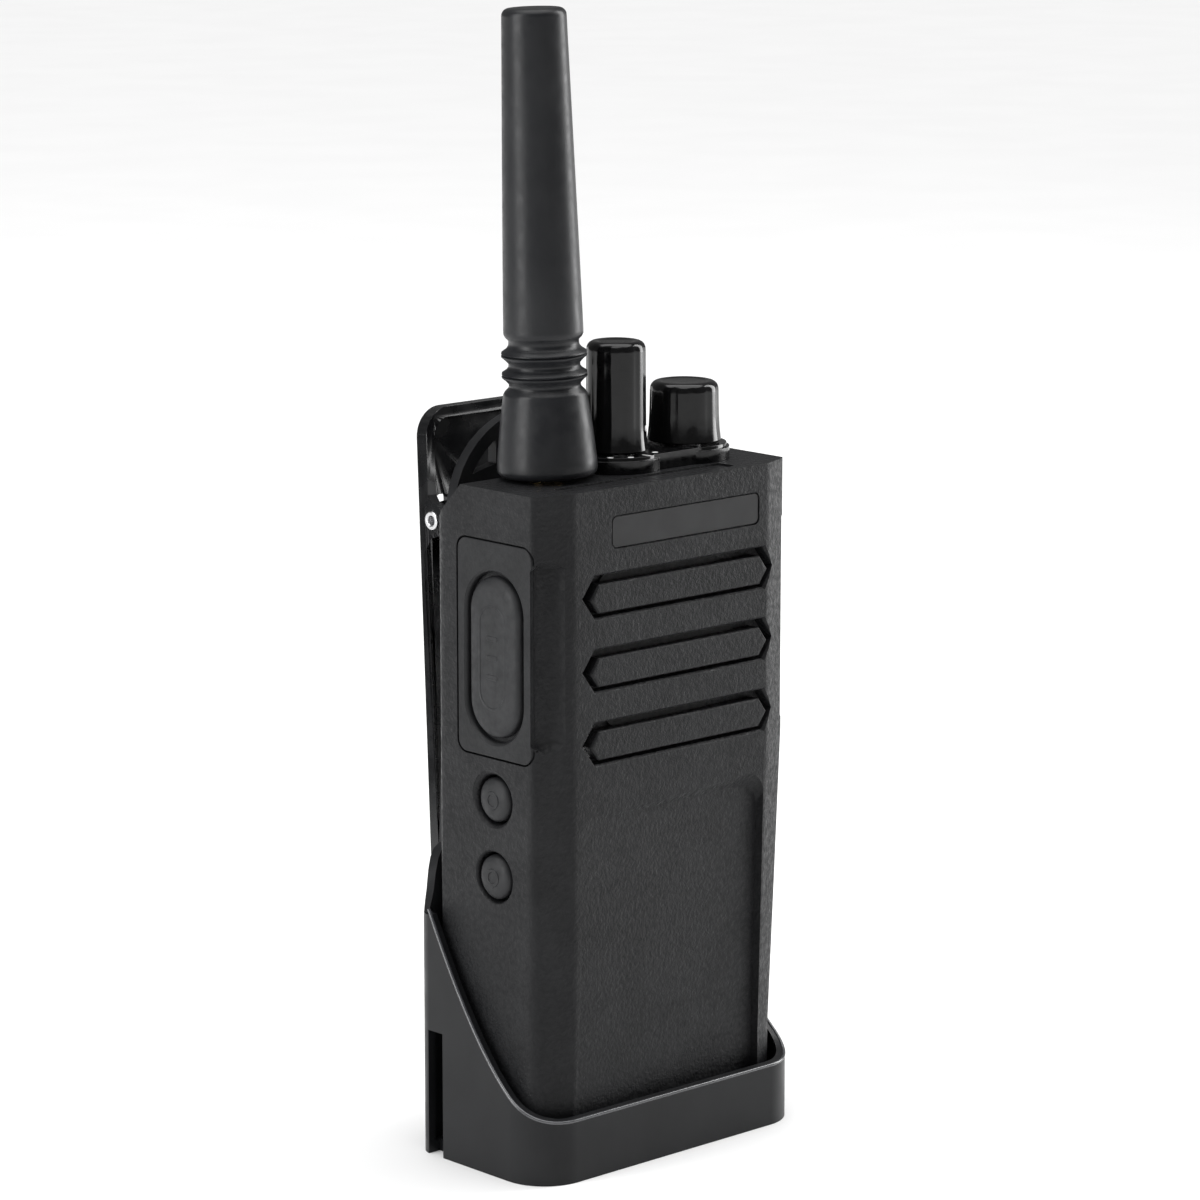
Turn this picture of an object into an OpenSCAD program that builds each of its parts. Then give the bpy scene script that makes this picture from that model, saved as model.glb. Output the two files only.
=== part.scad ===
// Handheld two-way radio (walkie talkie) in a swivel belt holster.
// X is to the right seen from the front, Y goes from the front to the back, Z is up.
// The origin is the middle of the holster's footprint, on the surface it stands on.

/* [Radio body] */
// Width of the radio across its shoulders
body_w = 57; // [54:0.5:60]
// Width lost on each side, and on the front, between shoulders and foot
body_taper = 1; // [0:0.1:1.5]
// Height of the radio without knobs and antenna
body_h = 112; // [108:1:116]
// Depth of the radio, front face to battery door
body_d = 27.2; // [26:0.2:29]
// Width of the slope between the front face and each side
slope_w = 6.3; // [4:0.1:8]
// Depth of that slope
slope_d = 2.4; // [1.5:0.1:3.5]
// How far the rounded edge between slope and side reaches onto the slope
edge_w = 2.1; // [1:0.1:2.4]
// How far that edge reaches along the side
edge_l = 2.2; // [1:0.1:3]
// Thickness of the moulded walls
wall = 2; // [1.8:0.1:2.2]
// Depth of the battery side behind the body seam
rear_d = 4.5; // [4:0.1:5]

/* [Speaker slots] */
// Number of speaker slots in the front face
slot_count = 3; // [2:1:3]
// Height from one slot to the next
slot_pitch = 12.15; // [10:0.05:12.5]
// Height of one slot
slot_h = 6.8; // [5:0.1:7.5]
// Distance between a slot's two pointed ends
slot_w = 42.5; // [38:0.5:44]

/* [Side controls] */
// Height of the push-to-talk key
ptt_h = 27.6; // [24:0.2:29]
// Width of the push-to-talk key
ptt_w = 13; // [11:0.2:13.4]
// Travel of the push-to-talk key
ptt_travel = 0.8; // [0.5:0.1:0.9]
// Diameter of each round side button
side_button_d = 7.4; // [6:0.2:8]
// Travel of each round side button
button_travel = 0.6; // [0.4:0.1:0.7]

/* [Top controls] */
// Diameter of the tall channel knob
channel_d = 9.9; // [9:0.1:10.5]
// Height of the channel knob
channel_h = 18.2; // [16:0.2:20]
// Diameter of the short volume knob
volume_d = 11.6; // [11:0.1:12.4]
// Height of the volume knob
volume_h = 10; // [9:0.2:12]
// Number of grip flutes round each knob
flutes = 14; // [10:1:18]

/* [Antenna] */
// Height of the antenna above the radio's top deck
antenna_h = 76.2; // [60:0.2:90]
// Diameter of the antenna's foot
antenna_foot_d = 16.4; // [15:0.1:17]
// Diameter of the antenna above its ribbed neck
antenna_neck_d = 13; // [12:0.1:13.6]
// Diameter of the antenna's tip
antenna_tip_d = 10.4; // [9:0.1:12]
// Lean of the flexible antenna to the side and to the back, in degrees
antenna_lean = 1.1; // [0:0.1:1.5]

/* [Holster] */
// Outer width of the holster's cup
cup_w = 60.8; // [60.4:0.1:62]
// Height of the cup's front rim
cup_rim_h = 10.6; // [8:0.2:14]
// Thickness of the cup's floor
cup_floor = 2; // [1.6:0.1:2]
// Height of the holster's back plate
plate_h = 123.6; // [116:0.2:126]
// Width of the holster's back plate above the cup
plate_w = 45.8; // [44:0.2:50]
// Width of the back plate just above the cup's shoulders
plate_low_w = 49.8; // [46:0.2:52]
// Height of the shoulders where the cup runs into the back plate
shoulder_h = 50; // [44:0.5:56]
// Width of the tongue between the two windows of its arched top
tongue_w = 27.2; // [24:0.2:30]

/* [Belt clip] */
// Width of the belt clip
clip_w = 38; // [34:0.5:40]
// Diameter of the clip's hinge pin
pin_d = 3.2; // [2.8:0.1:3.4]
// Height of the swivel's centre above the ground
swivel_z = 72; // [68:1:78]

/* [Hidden] */
$fn = 48;
gap = 0.3;

// radio body
hw = body_w/2;
z0 = cup_floor + gap;
z1 = z0 + body_h;
yf = -14;
yb = yf + body_d;
y_seam = yb - rear_d;
y_slope = y_seam - 3.2;
z_low = 16;
z_high = 68;
cavity_h = 100.5;
z_cavity = z0 + 2.2 + cavity_h/2;
x_left = -hw;
x_right = hw;
ant_x = -14.4;
chan_x = 0.8;
vol_x = 16.4;

// layers inside the radio, front to back
y_in = yf + wall;
y_board = -2.8;
board_t = 1.6;
y_frame = 0.6;
frame_t = 1.6;
y_pack = 3.4;
y_door = 11.1;

// speaker and slots
spk_x = -1;
spk_z = 88;
spk_r = 16;
slot_x = 2.1;
slot_z = 96.8;
slot_depth = 0.8;

// side controls
ptt_y = -2.5;
ptt_z = 86.8;
button_y = -1.95;
button_zs = [63, 50];
x_switch = -24;
inset_d = 0.9;
jack_y = -5.8;
jack_zs = [93.5, 82];
jack_rs = [1.75, 1.25];
flap_x = x_right - inset_d;
flap_hinge_y = 6.1;

// top controls
z_plate = z1 + 2.7;
shaft_r = 3;
run = 0.05;
knob_z = z_plate + gap;

// holster
cup_front = -15.75;
cup_back = 15.5;
plate_t = 2;
y_plate = cup_back - plate_t;
cup_wall = 1.5;
cup_hw = cup_w/2;

// belt clip
clip_hw = clip_w/2;
pin_y = 23.6;
pin_z = 104.7;
pin_r = pin_d/2;
clip_top = 123.2;
clip_tip = 32;
lean = 2.29;
y_base = cup_back + gap;
base_t = 1.8;
hub_r = 5;

// ---------- helpers ----------

// Box between two corners
module slab(x, y, z) {
  translate([x[0], y[0], z[0]]) cube([x[1] - x[0], y[1] - y[0], z[1] - z[0]]);
}

// Rectangle with round corners, centred
module rrect(w, h, r) {
  square([w - 2*r, h], center = true);
  square([w, h - 2*r], center = true);
  for (sx = [-1, 1], sy = [-1, 1]) translate([sx*(w/2 - r), sy*(h/2 - r)]) circle(r);
}

// Extrudes an (X, Z) outline from y0 to y1
module along_y(y0, y1) {
  translate([0, y1, 0]) rotate([90, 0, 0]) linear_extrude(y1 - y0) children();
}

// Extrudes a (Y, Z) outline from x0 to x1
module along_x(x0, x1) {
  translate([x0, 0, 0]) rotate([90, 0, 90]) linear_extrude(x1 - x0) children();
}

// Cylinder lying along Y, or along X
module rod_y(x, z, r, y0, y1) {
  translate([x, y1, z]) rotate([90, 0, 0]) cylinder(r = r, h = y1 - y0);
}
module rod_x(y, z, r, x0, x1) {
  translate([x0, y, z]) rotate([0, 90, 0]) cylinder(r = r, h = x1 - x0);
}

// Round wire swept along a path; ref is never parallel to the path
function unit(v) = v/norm(v);
function tangent(p, i) = unit(p[min(i + 1, len(p) - 1)] - p[max(i - 1, 0)]);
module wire(path, r, ref, sides = 8) {
  n = len(path);
  pts = [for (i = [0:n - 1]) let (t = tangent(path, i), u = unit(cross(t, ref)), v = cross(t, u))
    for (k = [0:sides - 1]) path[i] + r*(cos(360*k/sides)*u + sin(360*k/sides)*v)];
  skin = [for (i = [0:n - 2], k = [0:sides - 1]) let (m = (k + 1) % sides, a = i*sides, b = a + sides)
    each [[a + k, a + m, b + m], [a + k, b + m, b + k]]];
  caps = [[for (k = [sides - 1:-1:0]) k], [for (k = [0:sides - 1]) (n - 1)*sides + k]];
  polyhedron(pts, concat(skin, caps), convexity = 8);
}

// ---------- radio body forms ----------

// The three outlines of the body, each drawn in by t
module body_plan(t, y_end) {
  half = [[hw - slope_w - t/2, yf + t], [hw - edge_w - t*0.85, yf + slope_d*2/3 + t*0.85],
    [hw - t, yf + slope_d + edge_l + t/3], [hw - t, y_end]];
  polygon(concat(half, [for (i = [len(half) - 1:-1:0]) [-half[i][0], half[i][1]]]));
}
module body_front(t) {
  lo = hw - body_taper - t;
  hi = hw - t;
  c = 2.2;
  top = z1 - t;
  half = [[lo, z0 + t], [lo, z_low], [hi, z_high], [hi, top - c], [hi - c*0.3, top - c*0.3], [hi - c, top]];
  polygon(concat(half, [for (i = [len(half) - 1:-1:0]) [-half[i][0], half[i][1]]]));
}
// Height of the slope that the back of the top deck runs down, at depth y
function z_slope(y) = z1 - max(0, y - y_slope);
module body_side(t, y_end) {
  c = 1.6;
  low = yf + body_taper + t;
  face = yf + t;
  top = z1 - t;
  polygon([[low, z0 + t], [low, z_low], [face, z_high], [face, top - c], [face + c*0.3, top - c*0.3],
    [face + c, top], [y_slope - t*0.4, top], [y_end, z_slope(y_end) - t*1.4], [y_end, z0 + t]]);
}
module body_form(t, y_end) {
  intersection() {
    translate([0, 0, z0 + t]) linear_extrude(body_h - 2*t) body_plan(t, y_end);
    along_y(yf - 1, y_end + 1) body_front(t);
    along_x(-hw - 1, hw + 1) body_side(t, y_end);
  }
}

// One speaker slot, pointed at both ends, drawn in by t
module slot_outline(t) {
  h = slot_h/2 - t;
  e = 3.4;
  w = slot_w/2 - t*1.4;
  polygon([[-w, 0], [-w + e*0.7, h], [w - e*0.7, h], [w, 0], [w - e*0.7, -h], [-w + e*0.7, -h]]);
}
module at_slots() {
  for (i = [0:slot_count - 1]) translate([slot_x, slot_z - i*slot_pitch]) children();
}

// Screw posts stand at the same four places in the housing and the chassis
module at_posts() {
  for (p = [[-18.9, 11], [21.5, 11], [-18.9, 100.8], [21.5, 100.8]]) translate([p[0], 0, p[1]]) children();
}

module front_housing() {
  color([0.07, 0.07, 0.075])
  difference() {
    union() {
      difference() {
        body_form(0, y_seam);
        body_form(wall, y_seam + 1);
      }
      intersection() {
        body_form(0.5, y_seam);
        at_posts() rod_y(0, 0, 2.2, yf, y_board);
      }
    }
    at_posts() rod_y(0, 0, 0.9, yf + 3, y_board + 1);
    // grooves round the raised bars of the speaker slots, and the sound openings in them
    along_y(yf - 1, yf + slot_depth) difference() {
      at_slots() slot_outline(0);
      at_slots() slot_outline(1.3);
    }
    along_y(yf - 1, y_in + 1) at_slots() {
      for (i = [-4:4]) translate([i*4, slot_h/2 - 0.85]) square([2.6, 0.9], center = true);
      for (s = [-1, 1]) translate([s*(slot_w/2 - 1.6), 0]) circle(0.7);
    }
    // shallow field for the name plate, and the long shallow field of the lower front
    along_y(yf - 1, yf + 0.35) translate([3.6, 107]) rrect(33.4, 5.4, 1);
    along_y(yf - 1, yf + body_taper + 0.4) translate([1, 28]) rrect(41.5, 68, 4);
    // push-to-talk panel seat and key opening
    along_x(x_left - 1, x_left + 1.2) translate([ptt_y - 0.15, 88]) rrect(18.3, 36, 2.2);
    along_x(x_left - 1, x_left + 3) translate([ptt_y, ptt_z]) rrect(ptt_w, ptt_h, ptt_w/2 - 0.02);
    for (z = button_zs) {
      rod_x(button_y, z, 5, x_left - 1, x_left + 0.9);
      rod_x(button_y, z, side_button_d/2 + 0.3, x_left, x_left + 4);
    }
    // inset panel on the right, with openings to the accessory sockets
    slab([x_right - inset_d, x_right + 1], [yf - 1, y_seam + 1], [70, 104.5]);
    slab([flap_x - 0.7, x_right], [-10.4, 7.3], [75.5, 100.5]);
    for (z = jack_zs) rod_x(jack_y, z, 3.4, x_right - 4, x_right);
    // holes in the top deck and charging pads in the floor
    for (x = [chan_x, vol_x]) translate([x, 0, z1 - 4]) cylinder(r = 4, h = 6);
    translate([ant_x, 0, z1 - 4]) cylinder(r = 3, h = 6);
    for (x = [-6, 6]) translate([x, 3.5, 0]) cylinder(r = 1.5, h = 8);
  }
}

module name_plate() {
  color([0.5, 0.5, 0.52]) along_y(yf + 0.1, yf + 0.35) translate([3.6, 107]) rrect(33, 5, 0.9);
}

module housing_gasket() {
  color([0.15, 0.15, 0.16]) along_y(y_seam - 0.8, y_seam) translate([0, z_cavity]) difference() {
    rrect(50.6, cavity_h, 2);
    rrect(48.8, cavity_h - 1.8, 1.4);
  }
}

module rear_housing() {
  color([0.07, 0.07, 0.075])
  difference() {
    intersection() {
      along_y(y_seam, yb) body_front(0);
      translate([0, yb - 10, 0]) linear_extrude(200) rrect(body_w, 20, 4);
      along_x(-hw, hw)
        polygon([[y_seam - 1, z0], [yb, z0], [yb, z_slope(yb) - 1], [yb - 1, z_slope(yb - 1)],
          [y_seam - 1, z_slope(y_seam - 1)]]);
    }
    along_y(y_seam - 1, yb - wall) translate([0, z_cavity]) rrect(50.6, cavity_h, 2);
    along_y(y_seam, yb + 1) translate([0, 55]) rrect(45.8, 90, 3);
  }
}

module battery_door() {
  color([0.08, 0.08, 0.085])
  difference() {
    along_y(y_door, yb) translate([0, 55]) rrect(45.4, 89.6, 2.8);
    along_y(yb - 1.6, yb + 1) translate([0, 17]) rrect(18.4, 10.4, 1.2);
    for (i = [0:5]) along_y(yb - 0.4, yb + 1) translate([0, 40 + 7*i]) square([34, 1.2], center = true);
  }
}

module battery_latch() {
  color([0.2, 0.2, 0.21])
  difference() {
    along_y(yb - 1.55, yb - 0.8) translate([0, 18.2]) rrect(16, 7, 1);
    for (i = [-1:1]) along_y(yb - 1.1, yb) translate([0, 18.2 + 1.8*i]) square([12, 0.7], center = true);
  }
}

module battery_pack() {
  color([0.12, 0.16, 0.3])
  difference() {
    along_y(y_pack, y_pack + 7.2) translate([0, 46]) rrect(42, 64, 2.5);
    for (x = [-6, 0, 6]) slab([x - 1.6, x + 1.6], [y_pack + 1.5, y_pack + 5], [77, 79]);
  }
}

module battery_pad() {
  color([0.3, 0.3, 0.32]) along_y(y_pack + 7.2, y_door) translate([0, 46]) rrect(32, 50, 2);
}

// Three leaf contacts that press on the pack's upper end
module battery_contacts() {
  foot = y_frame + frame_t;
  color([0.8, 0.65, 0.35]) for (x = [-6, 0, 6]) along_x(x - 1.2, x + 1.2)
    polygon([[foot, 80], [foot, 86], [foot + 0.4, 86], [foot + 0.4, 80.6], [7, 80.2], [7.6, 78.3],
      [7.2, 78.2], [6.6, 79.6]]);
}

module charge_contacts() {
  color([0.8, 0.65, 0.35]) for (x = [-6, 6]) translate([x, 3.5, z0]) cylinder(r = 1.5, h = wall + 0.5);
}

module chassis() {
  x = [-22.6, 25];
  color([0.6, 0.61, 0.63])
  difference() {
    union() {
      slab(x, [y_frame, y_frame + frame_t], [6.5, 103.5]);
      for (s = [[x[0], x[0] + 1.4], [x[1] - 1.4, x[1]]]) slab(s, [y_frame, 7.6], [6.5, 103.5]);
      for (z = [[6.5, 8], [88, 89.5]]) slab(x, [y_frame, 7.6], z);
      at_posts() rod_y(0, 0, 2.2, y_board + board_t, y_frame + 0.5);
    }
    at_posts() rod_y(0, 0, 1, y_board, 5);
    for (z = [20:12:80]) slab([-12, 12], [y_frame - 1, y_frame + 3], [z, z + 5]);
  }
}

module main_board() {
  color([0.05, 0.28, 0.15])
  difference() {
    slab([-22.8, 24.8], [y_board, y_board + board_t], [8, 103.5]);
    at_posts() rod_y(0, 0, 1, y_board - 1, y_board + 3);
  }
}

module board_chips() {
  color([0.12, 0.12, 0.13]) {
    for (p = [[-14, 9], [-1, 11], [12, 7]])
      slab([p[0] - p[1]/2, p[0] + p[1]/2], [y_board - 1.2, y_board], [58 - p[1]/2, 58 + p[1]/2]);
    for (i = [0:5]) slab([-18 + 7*i, -16 + 7*i], [y_board - 0.8, y_board], [65, 66.4]);
  }
}

module rf_shield() {
  color([0.75, 0.76, 0.78])
  difference() {
    slab([-19, 20], [y_board - 3.4, y_board], [15, 50]);
    slab([-18.5, 19.5], [y_board - 2.9, y_board + 1], [15.5, 49.5]);
    for (x = [-14:7:14], z = [20:7:46]) rod_y(x, z, 1, y_board - 5, y_board - 2);
  }
}

module housing_screws() {
  color([0.7, 0.7, 0.72]) at_posts() difference() {
    union() {
      rod_y(0, 0, 0.9, -9, y_frame + frame_t);
      rod_y(0, 0, 1.9, y_frame + frame_t, y_frame + frame_t + 1.1);
    }
    rod_y(0, 0, 0.6, y_frame + frame_t + 0.3, 5);
  }
}

// ---------- sound ----------

// Turns a (radius, distance behind the front wall) outline about the speaker's axis
module about_speaker() {
  translate([spk_x, y_in, spk_z]) rotate([-90, 0, 0]) rotate_extrude() children();
}

module speaker_cloth() {
  color([0.1, 0.1, 0.1]) about_speaker() square([spk_r + 1, 0.3]);
}

module speaker_frame() {
  color([0.25, 0.25, 0.27]) about_speaker() polygon([[spk_r - 0.8, 0.3], [spk_r, 0.3], [spk_r, 5.5],
    [8.5, 5.5], [8.5, 4.7], [spk_r - 0.8, 4.7]]);
}

module speaker_cone() {
  edge = spk_r - 0.8;
  color([0.18, 0.16, 0.14]) about_speaker()
    polygon([[0, 1.3], [2, 1.5], [4, 2.3], [5, 3.1], [10, 1.9], [14, 0.9], [edge, 1.1], [edge, 1.5],
      [14, 1.3], [10, 2.3], [5, 3.6], [4, 2.7], [2, 1.9], [0, 1.7]]);
}

module speaker_magnet() {
  color([0.55, 0.55, 0.57]) about_speaker() translate([0, 4.7]) square([8.5, 3.1]);
}

module microphone() {
  color([0.7, 0.7, 0.72]) difference() {
    rod_y(-18, 72.5, 3, y_in, y_in + 2.4);
    rod_y(-18, 72.5, 0.8, y_in - 1, y_in + 0.6);
  }
}

// ---------- side controls ----------

module ptt_panel() {
  color([0.06, 0.06, 0.065])
  difference() {
    intersection() {
      body_form(0, y_seam);
      along_x(x_left, x_left + 1.2) translate([ptt_y - 0.15, 88]) rrect(17.9, 35.6, 2);
    }
    along_x(x_left - 1, x_left + 3) translate([ptt_y, ptt_z]) rrect(ptt_w, ptt_h, ptt_w/2 - 0.02);
  }
}

module ptt_key() {
  w = ptt_w - 0.7;
  h = ptt_h - 0.7;
  color([0.05, 0.05, 0.055])
  difference() {
    union() {
      along_x(x_left - 0.1, x_left + 2.3) translate([ptt_y, ptt_z]) rrect(w, h, w/2 - 0.02);
      along_x(x_left - 0.5, x_left) translate([ptt_y, ptt_z]) rrect(w - 1.6, h - 1.6, w/2 - 0.84);
      for (z = [ptt_z - 6, ptt_z + 6]) rod_x(ptt_y, z, 1.2, x_left + 2, x_left + 3.1);
    }
    along_x(x_left - 1, x_left - 0.2) for (i = [-2:2])
      translate([ptt_y, ptt_z + 2.6*i]) square([5, 0.9], center = true);
  }
}

// Round rubber button with a raised ring, centred at height z
module side_button(z) {
  r = side_button_d/2;
  color([0.06, 0.06, 0.065])
  difference() {
    union() {
      rod_x(button_y, z, r, x_left + 0.1, x_left + 2.6);
      rod_x(button_y, z, r - 0.8, x_left - 0.2, x_left + 1);
      rod_x(button_y, z, 1.2, x_left + 2, x_left + 3.3);
    }
    rod_x(button_y, z, r - 1.8, x_left - 1, x_left + 0.1);
  }
}
module upper_button() { side_button(button_zs[0]); }
module lower_button() { side_button(button_zs[1]); }

module switch_board() {
  color([0.05, 0.28, 0.15]) slab([x_switch, x_switch + 0.8], [-8, 4], [46, 98]);
}

module switch_domes() {
  color([0.75, 0.75, 0.77]) {
    for (z = [ptt_z - 6, ptt_z + 6]) rod_x(ptt_y, z, 2.2, x_switch - 0.3, x_switch);
    for (z = button_zs) rod_x(button_y, z, 2.2, x_switch - 0.3, x_switch);
  }
}

// Block with the two accessory sockets, open to the right
module jack_block() {
  color([0.1, 0.1, 0.1])
  difference() {
    slab([15.6, 26.5], [jack_y - 3, y_board], [77.5, 98]);
    for (i = [0, 1]) rod_x(jack_y, jack_zs[i], jack_rs[i], 16.5, 28);
  }
}

// Rubber flap over the sockets, hinged along its rear edge
module jack_flap() {
  color([0.06, 0.06, 0.065])
  difference() {
    union() {
      along_x(flap_x - 0.5, flap_x + 0.7) translate([-2.3, 88]) rrect(15.4, 24, 2);
      translate([flap_x + 0.05, flap_hinge_y, 79]) cylinder(r = 0.55, h = 18);
      slab([flap_x - 0.3, flap_x + 0.4], [5, flap_hinge_y], [79, 97]);
    }
    for (i = [-3:3]) slab([flap_x + 0.4, flap_x + 2], [-5, 2], [87.6 + 2*i, 88.4 + 2*i]);
  }
}

// ---------- top controls ----------

module top_plate() {
  foot = z1 - 2.3;
  color([0.02, 0.02, 0.022])
  difference() {
    union() {
      for (x = [chan_x, vol_x]) translate([x, 0, foot]) cylinder(r = 7.6, h = z_plate - foot - 0.6);
      for (x = [chan_x, vol_x]) translate([x, 0, foot]) cylinder(r = 7.1, h = z_plate - foot);
      slab([chan_x, vol_x], [-6.6, 6.8], [foot, z_plate]);
    }
    body_form(0, y_seam);
    for (x = [chan_x, vol_x]) translate([x, 0, z1 - 1]) cylinder(r = 4, h = 8);
    translate([ant_x, 0, z1 - 1]) cylinder(r = antenna_foot_d/2 + 0.4, h = 8);
  }
}

module knob_seals() {
  color([0.15, 0.15, 0.16]) for (x = [chan_x, vol_x])
    translate([x, 0, z_plate - 0.5]) rotate_extrude() translate([shaft_r + 0.55, 0]) circle(0.45, $fn = 24);
}

// Control body below the deck with a bush that carries its shaft
module control_body(x, size) {
  difference() {
    union() {
      slab([x - size/2, x + size/2], [-size/2, 4.5], [z1 - 9.3, z1 - wall]);
      translate([x, 0, z1 - wall]) cylinder(r = 4, h = z_plate - 1 - z1 + wall);
    }
    translate([x, 0, z1 - 8.5]) cylinder(r = shaft_r + run, h = 20);
  }
}
module channel_switch() { color([0.3, 0.3, 0.32]) control_body(chan_x, 11); }
module volume_control() { color([0.3, 0.3, 0.32]) control_body(vol_x, 12); }

// Shaft with a flat near its top, where the knob drives it
module control_shaft(x, top) {
  difference() {
    translate([x, 0, z1 - 8.3]) cylinder(r = shaft_r, h = top - z1 + 8.3);
    slab([x - 4, x + 4], [shaft_r - 0.8, shaft_r + 1], [knob_z + 1, top + 1]);
  }
}
module channel_shaft() { color([0.7, 0.7, 0.72]) control_shaft(chan_x, knob_z + channel_h - 3); }
module volume_shaft() { color([0.7, 0.7, 0.72]) control_shaft(vol_x, knob_z + volume_h - 2.4); }

// Knob of diameter d and height h with grip flutes and a rounded top
module knob(x, d, h) {
  r = d/2;
  translate([x, 0, knob_z]) difference() {
    rotate_extrude()
      polygon([[0, 0], [r + 0.4, 0], [r + 0.4, 0.8], [r, 1.6], [r - 0.1, h - 1], [r - 0.4, h - 0.35],
        [r - 1.1, h], [0, h]]);
    translate([0, 0, -1]) cylinder(r = shaft_r + 0.01, h = h - 1.2);
    for (i = [0:flutes - 1]) rotate(360*i/flutes)
      translate([r + 0.35, 0, 2.4]) cylinder(r = 0.7, h = h, $fn = 16);
  }
}
module channel_knob() { color([0.02, 0.02, 0.022]) knob(chan_x, channel_d, channel_h); }
module volume_knob() { color([0.02, 0.02, 0.022]) knob(vol_x, volume_d, volume_h); }

// ---------- antenna ----------

// The antenna's own frame: foot on the deck, leaning slightly outwards and back
module at_antenna() {
  translate([ant_x, 0, z1]) rotate([-antenna_lean, -antenna_lean, 0]) children();
}

module antenna_sheath() {
  rf = antenna_foot_d/2;
  rn = antenna_neck_d/2;
  rt = antenna_tip_d/2;
  h = antenna_h;
  rib = [[rn - 0.65, 15.9], [rn + 0.45, 17.1], [rn + 0.45, 17.5], [rn - 0.65, 18.7]];
  color([0.09, 0.09, 0.095]) at_antenna() rotate_extrude() polygon(concat(
    [[3.2, 0.6], [rf - 0.8, 0.6], [rf, 1.4], [rf, 2.4], [rn + 0.3, 14.3], [rn - 0.65, 15.2]],
    [for (i = [0:1], p = rib) p + [0, 3.3*i]],
    [[rn - 0.65, 22.8], [rn, 24], [rt + 0.1, h - 1.6], [rt - 0.5, h - 0.6], [rt - 1.6, h], [0, h],
      [0, h - 4], [3.2, h - 4]]));
}

module antenna_coil() {
  turns = 12;
  steps = 12;
  path = [for (i = [0:turns*steps]) [2.6*cos(360*i/steps), 2.6*sin(360*i/steps), 6 + 60*i/(turns*steps)]];
  color([0.75, 0.45, 0.25]) at_antenna() wire(path, 0.3, [0, 0, 1], 6);
}

module antenna_core() {
  color([0.85, 0.85, 0.8]) at_antenna() translate([0, 0, 3]) cylinder(r = 2.1, h = antenna_h - 8);
}

// Threaded foot, fastened under the deck by its nut
module antenna_stud() {
  color([0.8, 0.65, 0.35]) translate([ant_x, 0, z1 - 8]) {
    cylinder(r = 3, h = 8);
    cylinder(r = 2.8, h = 10);
  }
}

module antenna_nut() {
  color([0.7, 0.7, 0.72]) translate([ant_x, 0, z1 - wall - 2.6]) difference() {
    cylinder(r = 5.4, h = 2.6, $fn = 6);
    translate([0, 0, -1]) cylinder(r = 3, h = 5);
  }
}

// ---------- holster ----------

// Footprint of the cup drawn in by t, round at the front corners and tighter at the back
module cup_plan(t) {
  rf = 8 - t;
  rb = 3.6 - t;
  w = cup_hw - t;
  f = cup_front + t;
  b = cup_back - t;
  for (s = [-1, 1]) {
    translate([s*(w - rf), f + rf]) circle(rf, $fn = 64);
    translate([s*(w - rb), b - rb]) circle(rb);
  }
  translate([-w + rf, f]) square([2*(w - rf), b - f]);
  translate([-w, f + rf]) square([2*w, b - rb - f - rf]);
  translate([-w + rb, b - rb - 1]) square([2*(w - rb), rb + 1]);
}

// Height of the cup's rim at depth y: level in front, sweeping up to the back
function rim_z(y) = cup_rim_h + 0.111*pow(max(0, y - cup_front), 1.7);

module cup_profile() {
  steps = 16;
  span = cup_back - cup_front;
  polygon(concat([[cup_front - 1, 0], [cup_front - 1, cup_rim_h]],
    [for (i = [0:steps]) let (y = cup_front + span*i/steps, peak = cup_back - 3.2)
      [y, rim_z(min(y, peak)) - 1.1*max(0, y - peak)]],
    [[cup_back + 1, shoulder_h - 12], [cup_back + 1, 1.6], [cup_back - 1.6, 0]]));
}

// Back plate outline drawn in by t: as wide as the cup, drawn in over its shoulders, with an arched top
module plate_outline(t) {
  pw = plate_w/2 - t;
  arch = 16 - t;
  low = plate_low_w/2 - t;
  flat = cup_hw - 3.6 - t;
  half = concat([[flat, t], [flat, shoulder_h - 19], [cup_hw - t, shoulder_h - 18],
      [cup_hw - t, shoulder_h - 13], [cup_hw - 1 - t, shoulder_h - 10], [flat + 1.2, shoulder_h - 5.5],
      [flat + 0.6, shoulder_h - 2], [flat + 0.1, shoulder_h], [flat - 0.6, shoulder_h + 1.3],
      [low, shoulder_h + 2.2]],
    [for (a = [0:9:90]) [pw - arch*1.1*(1 - cos(a)), plate_h - t - arch + arch*sin(a)]]);
  polygon(concat(half, [for (i = [len(half) - 1:-1:0]) [-half[i][0], half[i][1]]]));
}

module holster() {
  color([0.05, 0.05, 0.055])
  difference() {
    union() {
      intersection() {
        linear_extrude(60) cup_plan(0);
        along_x(-40, 40) cup_profile();
      }
      intersection() {
        along_y(y_plate, cup_back) plate_outline(0);
        linear_extrude(plate_h + 1) cup_plan(0);
      }
    }
    // the two windows of the arched top, either side of its tongue, with sills that rise towards it
    along_y(y_plate - 1, cup_back + 1) intersection() {
      plate_outline(2.4);
      for (s = [-1, 1])
        polygon([[s*tongue_w/2, 115], [s*tongue_w/2, plate_h], [s*plate_w/2, plate_h], [s*plate_w/2, 113]]);
    }
    translate([0, 0, cup_floor]) linear_extrude(200) intersection() {
      cup_plan(cup_wall);
      translate([-40, -40]) square([80, 40 + y_plate]);
    }
    // open-bottomed relief slots beside the back corners
    for (s = [-1, 1]) slab([min(s*28, s*32), max(s*28, s*32)], [8.7, 12.3], [-1, 21.5]);
    // floor openings over the radio's charging pads
    along_x(-9, 9) translate([3.5, 0]) square([5, 10], center = true);
    // swivel hole with its counterbore on the radio's side
    rod_y(0, swivel_z, hub_r + run, y_plate - 1, cup_back + 1);
    rod_y(0, swivel_z, 8.2, y_plate - 1, y_plate + 0.9);
  }
}

// ---------- belt clip ----------

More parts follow.
